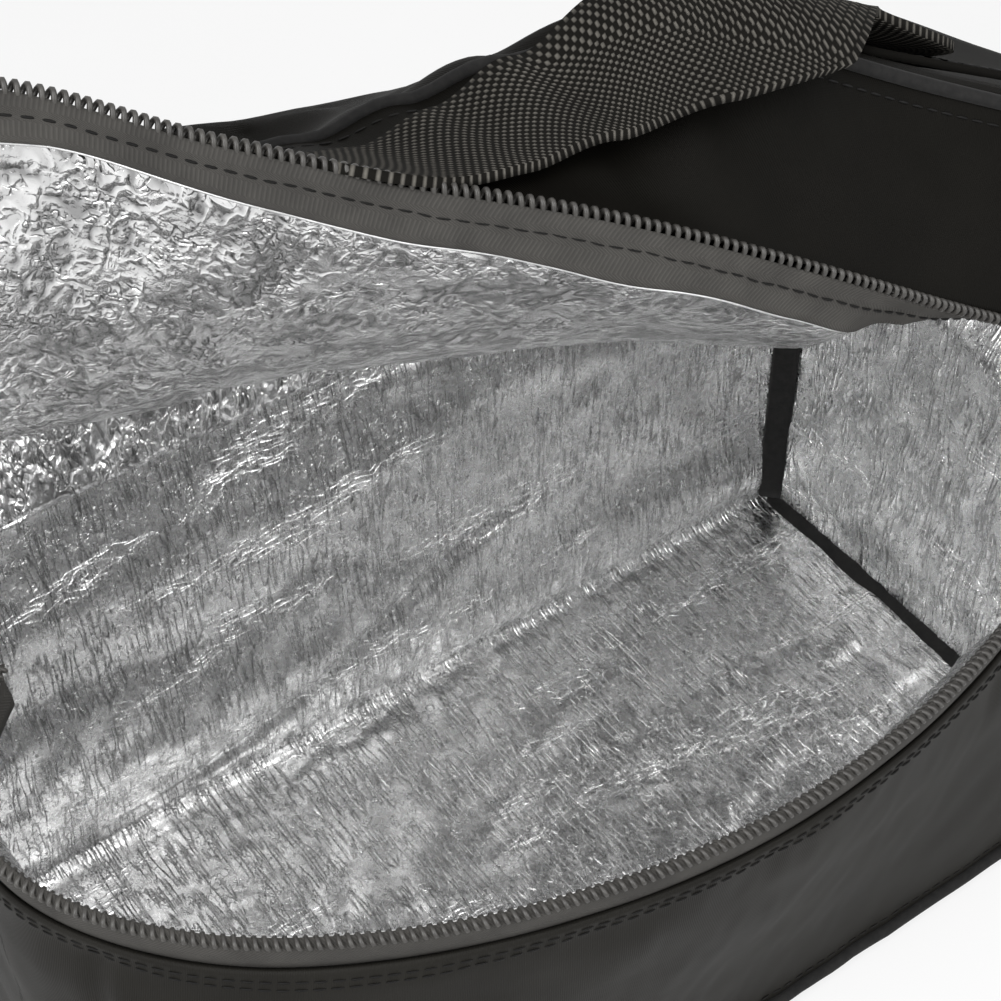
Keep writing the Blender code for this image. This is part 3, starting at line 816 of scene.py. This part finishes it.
for name, sign, node in (("bindingLeft", -1, "binding_left"), ("bindingRight", 1, "binding_right")):
    columns = []
    for spot, into, across in bindStations(sign):
        across = across.normalized() * -sign
        profile = []
        for t in np.linspace(-1, 1, 11):
            lift = bindForm["rise"] * (1 - abs(t) ** 3) + 0.35 * mm * bump(abs(t), 0.82, 0.1)
            profile.append(spot + across * bindForm["half"] * t + into * lift)
        columns.append(profile)
    grid = np.array(columns).transpose(1, 0, 2)
    binding = sheet(name, grid, finish["binding"], bindForm["thick"])
    settle(binding, "base", "binding", node)

pipingForm = {
    "foot": 7.5 * mm, "footLift": 1.0 * mm, "footWire": 1.9 * mm, "footStitch": 12.0 * mm,
    "crownDrop": 5.0 * mm, "crownWire": 1.7 * mm, "crownStitch": 11.0 * mm,
}
path = np.array([shellPoint(a, pipingForm["foot"], pipingForm["footLift"]) for a in angles[::2]])
piping = tube("footPiping", path, pipingForm["footWire"], finish["binding"], sides=10, closed=True)
settle(piping, "base", "binding", "bottom_piping")
row = [shellPoint(a, pipingForm["footStitch"], 0.1 * mm) for a in angles[::2]]
row.append(row[0])
out = [Vector((math.cos(a), math.sin(a), 0)) for a in angles[::2]]
out.append(out[0])
line = stitches("footStitch", np.array(row), np.array(out), finish["thread"])
settle(line, "base", "coated_fabric")
print("base made")


# The lid: x, p forward from the hinge, q up from the zip's plane, both as if the lid were closed

def twist(x):
    t = (lid["twistStart"] - x) / (lid["twistStart"] - lid["twistEnd"])
    return math.radians(lid["openAngle"]) * ease(t)


def opened(x, p, q):
    angle = twist(x)
    return Vector((x, bag["hingeRear"] - p * math.cos(angle) + q * math.sin(angle),
                   bag["zipHeight"] + p * math.sin(angle) + q * math.cos(angle)))


def edgePull(x):
    left = ramp(-x, 78 * mm, 118 * mm) * ramp(163 * mm + x, 0, 30 * mm)
    return 9 * mm * left - 6 * mm * (bump(x, -47 * mm, 30 * mm) + bump(x, 80 * mm, 28 * mm))


def edgeRounding(x):
    t = min(abs(x) / lid["halfLength"], 1)
    return (1 - t ** lid["edgePower"]) ** (1 / lid["edgePower"])


def frontReach(x):
    return bag["hingeRear"] + (lid["reach"] - bag["hingeRear"]) * edgeRounding(x) + edgePull(x)


# How the slack band slopes along the lid, and how the rear leans back: x and degrees
slumpForm = {
    "slopes": [(-0.163, 40), (-0.10, 26), (-0.07, 26), (-0.04, 35), (-0.02, 45), (0.0, 58), (0.022, 82),
               (0.05, 88)],
    "leans": [(-0.1, 16), (0.06, 0)], "from": 60 * mm, "to": 168 * mm, "rear": 70 * mm,
}


def slump(x, p, q):
    share = ramp(p, slumpForm["from"], slumpForm["to"])
    slope = blendTo(math.pi / 2, math.radians(stops(x, slumpForm["slopes"])), share)
    rear = 1 - ramp(p, 0, slumpForm["rear"])
    lean = rear * math.radians(stops(x, slumpForm["leans"]))
    return (p - q * math.cos(slope) + q * math.sin(lean), q * math.sin(slope) * math.cos(lean))


def lidPoint(x, p, q):
    return opened(x, *slump(x, p, q))


def lidOutline(angle, q, inset):
    lean = lid["lean"] * ramp(q, lid["leanFrom"], lid["depth"])
    ax, by = lid["halfLength"] - lean - inset, lid["halfWidth"] - lean - inset
    radius = rayLength(angle, ax, by, lid["edgePower"])
    x, y = radius * math.cos(angle), radius * math.sin(angle)
    p = bag["hingeRear"] - y
    if y < 0:
        p += edgePull(x) * ease(-y / (70 * mm))
    return x, p


# The lid's outer cloth
lidAngles = baseAngles(420)
coverForm = {"start": 1.2 * mm, "rows": 28, "topRows": 40}


def coverSwell(x, p, q):
    folds = 1.8 * mm * ripple(x, p * 0.8, q * 1.5, 0.06, 11.0) + 0.6 * mm * ripple(x, p, q, 0.02, 12.0)
    return folds * ease((q - 6 * mm) / (14 * mm))


def coverPoint(angle, q, inset=0.0):
    x, p = lidOutline(angle, q, inset)
    out = -coverSwell(x, p, q)
    x2, p2 = lidOutline(angle, q, inset + out)
    return x2, p2, q


rows = []
for q in np.linspace(coverForm["start"], lid["depth"] - lid["crown"], coverForm["rows"]):
    rows.append([lidPoint(*coverPoint(a, q)) for a in lidAngles])
for step in range(1, 7):
    turn = step / 6 * math.pi / 2
    inset = lid["crown"] * (1 - math.cos(turn))
    q = lid["depth"] - lid["crown"] * (1 - math.sin(turn))
    rows.append([lidPoint(*coverPoint(a, q, inset)) for a in lidAngles])


def topPoint(angle, share, q=lid["depth"]):
    x, p = lidOutline(angle, lid["depth"], lid["crown"])
    centre = bag["hingeRear"]
    x, p = x * share, centre + (p - centre) * share
    sag = 5 * mm * (1 - share ** 2) + 2.2 * mm * ripple(x, p, 0, 0.05, 13.0) * (1 - share ** 4)
    return x, p, q - sag + 0.8 * mm * ripple(x, p, 0, 0.02, 14.0) * (1 - share ** 6)


for share in np.linspace(1, 0.02, coverForm["topRows"])[1:]:
    rows.append([lidPoint(*topPoint(a, share)) for a in lidAngles])
# The lid's cover takes the darker copy of the fabric: painted shade.
cover = sheet("lidCover", np.array(rows), finish["coatedLidShaded"], bag["fabric"], wrap=True, capped=True)
print("lid cover made", len(cover.data.vertices))

# The lid's edge, from its left rear end round the front to its right rear end
edgeAll = sorted(fromLeft(a) for a in baseAngles(2400)
                 if lidOutline(a, 0, 0)[1] > bag["hingeRear"] - bag["zipRear"])
edgeAngles = np.interp(np.linspace(0, len(edgeAll) - 1, 620), np.arange(len(edgeAll)), edgeAll)


# The tape's flap and its turn under the lid's edge: x and degrees
flapForm = {
    "width": 13.5 * mm, "thick": 0.8 * mm, "stitch": 6.2 * mm, "edgeWire": 0.3 * mm,
    "turns": [(-0.16, 44), (-0.10, 46), (-0.047, 62), (0.005, 74), (0.035, 62), (0.062, 28), (0.085, -5),
              (0.11, -80)],
}


def flapAngle(x):
    return math.radians(stops(x, flapForm["turns"]))


def flapPoint(angle, along, lift=0.0):
    x, p = lidOutline(angle, 0, 0)
    x2, p2 = lidOutline(angle, 0, 1 * mm)
    inX, inP = (x2 - x) / mm, (p2 - p) / mm
    size = math.hypot(inX, inP)
    inX, inP = inX / size, inP / size
    turn = flapAngle(x)
    c, s = math.cos(turn), math.sin(turn)
    wave = 0.7 * mm * math.sin(x / (11 * mm)) * ripple(x, 0, 0, 0.03, 15.0) * along / (13 * mm)
    reach = along * c + lift * s
    q = -(along * s) + lift * c + wave
    return opened(x + inX * reach, p + inP * reach, q)


def flapWide(angle):
    x = lidOutline(angle, 0, 0)[0]
    waves = 0.24 * ripple(x, 0, 0, 0.026, 25.0) * ramp(x, -90 * mm, 30 * mm)
    return 1 + waves + 0.05 * ripple(x, 0, 0, 0.05, 26.0)


rows = [[flapPoint(a, t * blendTo(1, flapWide(a), ease(t / flapForm["width"]))) for a in edgeAngles]
        for t in np.linspace(0.6 * mm, flapForm["width"], 12)]
upperTape = sheet("upperTape", np.array(rows), finish["tape"], flapForm["thick"])
path = np.array([flapPoint(a, -0.4 * mm, 0.2 * mm) for a in edgeAngles])
out = np.array([flapPoint(a, -1.4 * mm) - flapPoint(a, 0.0) for a in edgeAngles])
upperCoil = coil("upperCoil", path, out, finish["coil"])
row = np.array([flapPoint(a, flapForm["stitch"] + 0.5 * mm * ripple(a, 0, 0, 0.05, 16.0), -1.0 * mm)
                for a in edgeAngles])
out = np.array([flapPoint(a, flapForm["stitch"], -1 * mm) - flapPoint(a, flapForm["stitch"])
                for a in edgeAngles])
flapStitch = stitches("flapStitch", row, out, finish["thread"])
path = np.array([flapPoint(a, flapForm["width"] * flapWide(a) + 0.25 * mm, 0.1 * mm) for a in edgeAngles])
flapEdge = tube("flapEdge", path, flapForm["edgeWire"], finish["edge"], sides=6)
print("upper zip made")

# The lid's foil, slack and hanging on the left, held up under the lid on the right
slackForm = {"columns": 260, "rows": 110, "endGap": 4.5 * mm, "thick": 0.5 * mm}


def foilPath(x, r):
    c, s = math.cos(flapAngle(x)), math.sin(flapAngle(x))

    def behind(along, lift):
        return (r - along * c - lift * s, -along * s + lift * c)

    left = stops(x, [(-0.05, 0.0), (0.02, 1.0)])
    held = stops(x, [(0.05, 0.0), (0.115, 1.0)])
    slack = [
        behind(1 * mm, 1.6 * mm), behind(7 * mm, 2.4 * mm), behind(14 * mm, 2.6 * mm),
        (r - 45 * mm, -14 * mm), (r - 88 * mm, -13 * mm),
        (blendTo(66 * mm, 52 * mm, left), blendTo(-9 * mm, -10 * mm, left)),
        (blendTo(47 * mm, 31 * mm, left), blendTo(-1 * mm, -6 * mm, left)),
        (blendTo(40 * mm, 26 * mm, left), blendTo(12 * mm, 6 * mm, left)),
        (blendTo(20 * mm, 15 * mm, left), blendTo(14 * mm, 7 * mm, left)), (-0.3 * mm, -1.8 * mm),
    ]
    tight = [
        (r - 1 * mm, 0.8 * mm), (r - 5.5 * mm, 12 * mm), (r - 9 * mm, 20 * mm), (r - 15 * mm, 44 * mm),
        (r - 50 * mm, 50 * mm), (r * 0.5, 49 * mm), (34 * mm, 50 * mm), (14 * mm, 46 * mm), (9 * mm, 24 * mm),
        (1.8 * mm, -1.0 * mm),
    ]
    return [(blendTo(a[0], b[0], held), blendTo(a[1], b[1], held)) for a, b in zip(slack, tight)]


columns = []
limit = lid["halfLength"] - slackForm["endGap"]
for i in range(slackForm["columns"]):
    across = 2 * i / (slackForm["columns"] - 1) - 1
    x = limit * math.sin(math.pi / 2 * across) * 0.5 + limit * 0.5 * across
    wide = frontReach(x)
    corner = lid["halfWidth"] * (1 - edgeRounding(x))
    line = throughPoints(foilPath(x, wide), slackForm["rows"])
    line[:, 0] = corner + line[:, 0] * (wide - corner) / wide
    close = ease((limit - abs(x)) / (16 * mm))
    column = []
    for k, (p, q) in enumerate(line):
        t = k / (slackForm["rows"] - 1)
        hold = ease((t - 0.2) / 0.12) * ease((1 - t) / 0.08)
        q = q * blendTo(0.25, 1.0, close)
        q += hold * (2.6 * mm * ripple(x, p, 0, 0.05, 17.0)
                     + 1.3 * mm * ripple(x * 1.6, p * 0.6, 0, 0.018, 18.0)
                     + 0.5 * mm * ripple(x * 1.6, p * 0.5, 0, 0.008, 19.0))
        column.append(opened(x, p, q))
    columns.append(column)
grid = np.array(columns).transpose(1, 0, 2)
lidFoil = sheet("lidFoil", grid, finish["lidFoil"], slackForm["thick"])
print("lid foil made")

# Foam in the lid: a pad under its top, and a band whose height and inset are in mm
padForm = {"gap": bag["fabric"] + 1.3 * mm, "thick": 3.5 * mm, "band": ((14, 2.2), (30, 2.2), (46, 2.6))}
padAngles = baseAngles(140)
topRows = np.array([[lidPoint(*topPoint(a, share)) for a in padAngles]
                    for share in np.linspace(0.86, 0.04, 22)])
lidPad = sheet("lidPad", topRows - gridNormals(topRows, True) * padForm["gap"], finish["foam"],
               padForm["thick"], wrap=True, capped=True)
rows = []
for q, inset in padForm["band"]:
    rows.append([lidPoint(*coverPoint(a, q * mm, inset * mm)) for a in padAngles])
bandPad = sheet("bandPad", np.array(rows), finish["foam"], padForm["thick"], wrap=True)

crown = lid["depth"] - pipingForm["crownDrop"]
crownLine = np.array([lidPoint(*coverPoint(a, crown, 0.2 * mm)) for a in lidAngles[::2]])
crownPiping = tube("crownPiping", crownLine, pipingForm["crownWire"], finish["binding"], sides=10, closed=True)
seamLine = lid["depth"] - pipingForm["crownStitch"]
row = [lidPoint(*coverPoint(a, seamLine, -0.1 * mm)) for a in lidAngles[::2]]
out = [lidPoint(*coverPoint(a, seamLine, -2 * mm)) - lidPoint(*coverPoint(a, seamLine, 0))
       for a in lidAngles[::2]]
crownStitch = stitches("crownStitch", np.array(row + row[:1]), np.array(out + out[:1]), finish["thread"])

# The webbing handle, a slack U over the lid's front band between its two sewn ends
strapForm = {
    "width": 38 * mm, "thick": 2.2 * mm, "span": 95 * mm, "tab": 46 * mm, "tabLow": 74 * mm,
    # The box with a cross that sews each end down: share of the half width, and mm up the lid
    "sewn": [(-0.8, 78), (0.8, 78), (0.8, 114), (-0.8, 114), (-0.8, 78), (0.8, 114), (0.8, 78), (-0.8, 114)],
}


def skinPoint(x, s, lift):
    reach = frontReach(x) - 0.3 * mm
    corner = lid["depth"] - lid["crown"]
    arc = lid["crown"] * math.pi / 2
    lean = lid["lean"] * ramp(min(s, corner), lid["leanFrom"], lid["depth"])
    if s < corner:
        p, q = reach - lean + lift, s
    elif s < corner + arc:
        turn = (s - corner) / lid["crown"]
        size = lid["crown"] + lift
        p = reach - lean - lid["crown"] + size * math.cos(turn)
        q = corner + size * math.sin(turn)
    else:
        p, q = reach - lean - lid["crown"] - (s - corner - arc), lid["depth"] + lift
    return lidPoint(x, p, q)


# The strap's lower and upper edges, right to left: x, distance up the lid's front and lift, in mm
loopEdges = [
    ((114, 112, 4), (76, 112, 4)), ((113, 102, 6), (75, 108, 6)), ((106, 88, 8), (72, 104, 7)),
    ((90, 74, 10), (66, 98, 7)), ((68, 61, 12), (58, 92, 6)), ((48, 51, 14), (47, 84, 4)),
    ((34, 43, 16), (38, 76, 4)), ((18, 34, 16), (26, 67, 4)), ((3, 28, 15), (8, 57, 4)),
    ((-10, 22, 11), (-11, 52, 4)), ((-27, 11, 7), (-36, 40, 4)), ((-45, 2, 3.5), (-54, 32, 4)),
    ((-62, 4, 3), (-65, 30, 4)), ((-80, 10, 3), (-72, 33, 4)), ((-98, 18, 3), (-76, 40, 4)),
    ((-110, 34, 3.5), (-77, 48, 4)), ((-114, 50, 4.5), (-76, 56, 4)), ((-114, 76, 3.8), (-76, 76, 3.8)),
    ((-114, 92, 2.6), (-76, 92, 2.6))]
lowLine = throughPoints([pair[0] for pair in loopEdges], 260)
highLine = throughPoints([pair[1] for pair in loopEdges], 260)
columns = []
for low, high in zip(lowLine, highLine):
    column = []
    for t in np.linspace(0, 1, 15):
        x, s, lift = blendTo(high, low, t) * mm
        cup = 1.2 * mm * (2 * t - 1) ** 2 + 0.6 * mm * ripple(x, t * 0.02, 0, 0.03, 22.0)
        column.append(skinPoint(x, s, lift + cup))
    columns.append(column)
handle = sheet("handleWebbing", np.array(columns), finish["webbing"], -strapForm["thick"])
tabs = []
for name, sign in (("tabLeft", -1), ("tabRight", 1)):
    rows = []
    middle = sign * strapForm["span"]
    for s in np.linspace(strapForm["tabLow"], strapForm["tabLow"] + strapForm["tab"], 30):
        rows.append([skinPoint(middle + strapForm["width"] / 2 * t, s, 1.3 * mm + 0.2 * mm * t * t)
                     for t in np.linspace(-1, 1, 13)])
    tabs.append(sheet(name, np.array(rows), finish["webbing"], -strapForm["thick"] * 0.9))
tabRows = []
for sign in (-1, 1):
    middle = sign * strapForm["span"]
    spots = []
    for (a, s), (b, e) in zip(strapForm["sewn"], strapForm["sewn"][1:]):
        for k in range(10):
            t = k / 10
            spots.append((middle + blendTo(a, b, t) * strapForm["width"] / 2, blendTo(s, e, t) * mm))
    line = np.array([skinPoint(x, s, 3.6 * mm) for x, s in spots])
    up = np.array([skinPoint(x, s, 5 * mm) - skinPoint(x, s, 3 * mm) for x, s in spots])
    tabRows.append(stitches("tabStitch%s" % ("Left" if sign < 0 else "Right"), line, up, finish["thread"]))
print("handle made")

# The fabric hinge behind the zip's two ends
hingeForm = {"low": 126 * mm, "high": 14 * mm, "proud": 0.5 * mm, "thick": 0.8 * mm, "lap": 1.5 * mm}
hingeFront = bag["zipRear"] - hingeForm["lap"]
rearAngles = sorted(a for a in baseAngles(1400) if basePoint(a, bag["zipHeight"], 0).y > hingeFront)
rows = []
for z in np.linspace(bag["zipHeight"], hingeForm["low"], 10):
    rows.append([basePoint(a, z, -hingeForm["proud"] - 0.3 * mm * ripple(a, z / mm, 0, 0.2, 20.0))
                 for a in rearAngles])
hingeLower = sheet("hingeLower", np.array(rows)[:, ::-1], finish["coated"], hingeForm["thick"])
settle(hingeLower, "base", "coated_fabric", "hinge_strip")
hingeReach = bag["hingeRear"] - bag["zipRear"] + hingeForm["lap"]
backAngles = sorted(a for a in baseAngles(1400) if lidOutline(a, 0, 0)[1] < hingeReach)
rows = []
for q in np.linspace(0, hingeForm["high"], 10):
    proud = [-hingeForm["proud"] - 0.3 * mm * ripple(a, q / mm, 0, 0.2, 21.0) for a in backAngles]
    rows.append([lidPoint(*lidOutline(a, q, inset), q) for a, inset in zip(backAngles, proud)])
# The lid's hinge strip also takes the darker copy of the fabric: painted shade.
hingeUpper = sheet("hingeUpper", np.array(rows), finish["coatedLidShaded"], hingeForm["thick"])

onLid = [
    (cover, "coated_fabric", ("lid_shell",)), (upperTape, "tape", ("lid_zip_tape",)),
    (upperCoil, "coil", ("lid_zip_coil",)), (flapStitch, "coated_fabric", ()), (flapEdge, "foil", ()),
    (lidFoil, "foil", ("lid_lining",)), (lidPad, "foam", ("lid_foam_top",)),
    (bandPad, "foam", ("lid_foam_band",)), (crownPiping, "binding", ("lid_piping",)),
    (crownStitch, "coated_fabric", ()),
    (handle, "webbing", ("handle_webbing",)), (tabs[0], "webbing", ("handle_tab_left",)),
    (tabs[1], "webbing", ("handle_tab_right",)), (tabRows[0], "webbing", ()), (tabRows[1], "webbing", ()),
    (hingeUpper, "coated_fabric", ("lid_hinge_strip",)),
]
for piece, slot, nodes in onLid:
    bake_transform(piece)
    if nodes:
        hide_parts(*nodes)

# The slider and its pull keep their own solids
for node in ("zip_slider", "zip_puller"):
    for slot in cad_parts[node].material_slots:
        slot.material = finish["metal"]

# Floor, light and camera
stageForm = {"size": 4.0, "dark": (0.84, 0.84, 0.84), "light": (0.87, 0.87, 0.87), "glow": 0.75}


def stageMaterial():
    made, nodes, links, shader = material("paleFloor")
    grain = cloudOn(nodes, links, 12.0, 3.0)
    tint = colourRamp(nodes, links, grain, stageForm["dark"], stageForm["light"])
    links.new(tint, shader.inputs["Base Color"])
    shader.inputs["Roughness"].default_value = 0.9
    glow = addNode(nodes, "ShaderNodeEmission", Strength=1.0)
    glow.inputs["Color"].default_value = (1, 1, 1, 1)
    path = addNode(nodes, "ShaderNodeLightPath")
    mixed = addNode(nodes, "ShaderNodeMixShader")
    seen = twoMath(nodes, links, "MAXIMUM", path.outputs["Is Camera Ray"], path.outputs["Is Glossy Ray"])
    links.new(twoMath(nodes, links, "MULTIPLY", seen, stageForm["glow"]), mixed.inputs[0])
    links.new(shader.outputs[0], mixed.inputs[1])
    links.new(glow.outputs[0], mixed.inputs[2])
    links.new(mixed.outputs[0], nodes["Material Output"].inputs["Surface"])
    return made


half = stageForm["size"]
ground = newPiece("floor", [(-half, -half, 0), (half, -half, 0), (half, half, 0), (-half, half, 0)],
                  [(0, 1, 2, 3)], stageMaterial())

world = bpy.data.worlds.new("softRoom")
bpy.context.scene.world = world
world.use_nodes = True
nodes, links = world.node_tree.nodes, world.node_tree.links
back = nodes["Background"]
sky = addNode(nodes, "ShaderNodeLightPath")
seen = addNode(nodes, "ShaderNodeMix", data_type="RGBA")
seen.inputs[6].default_value = (0.30, 0.30, 0.30, 1)
seen.inputs[7].default_value = (1, 1, 1, 1)
plainly = twoMath(nodes, links, "MAXIMUM", sky.outputs["Is Camera Ray"], sky.outputs["Is Glossy Ray"])
links.new(plainly, seen.inputs[0])
links.new(seen.outputs[2], back.inputs["Color"])


def softLight(name, place, target, width, height, power):
    light = bpy.data.lights.new(name, "AREA")
    light.shape = "RECTANGLE"
    light.size, light.size_y, light.energy = width, height, power
    lamp = bpy.data.objects.new(name, light)
    bpy.context.scene.collection.objects.link(lamp)
    lamp.location = place
    lamp.rotation_euler = (Vector(target) - Vector(place)).to_track_quat("-Z", "Y").to_euler()
    return lamp


softLight("leftBox", (-1.2, -0.3, 1.0), (0, 0, 0.1), 0.9, 1.2, 20)
softLight("topBox", (0.1, -0.7, 1.5), (0, 0, 0.1), 1.1, 0.8, 9)
softLight("frontBox", (0.5, -1.5, 0.9), (0, 0, 0.1), 1.2, 0.8, 12)

lens = {"place": (-0.2399, -0.3139, 0.5601), "heading": 35.5, "pitch": 45.6, "focal": 2230.0, "frame": 1001.0}
camera = bpy.data.objects.new("photoCamera", bpy.data.cameras.new("photoCamera"))
bpy.context.scene.collection.objects.link(camera)
camera.data.sensor_width = 36.0
camera.data.lens = 36.0 * lens["focal"] / lens["frame"]
camera.data.clip_start = 0.01
heading, pitch = math.radians(lens["heading"]), math.radians(lens["pitch"])
ahead = Vector((math.sin(heading) * math.cos(pitch), math.cos(heading) * math.cos(pitch), -math.sin(pitch)))
camera.location = lens["place"]
camera.rotation_euler = ahead.to_track_quat("-Z", "Y").to_euler()
bpy.context.scene.camera = camera
bpy.context.scene.view_settings.view_transform = "Standard"
print("stage made")
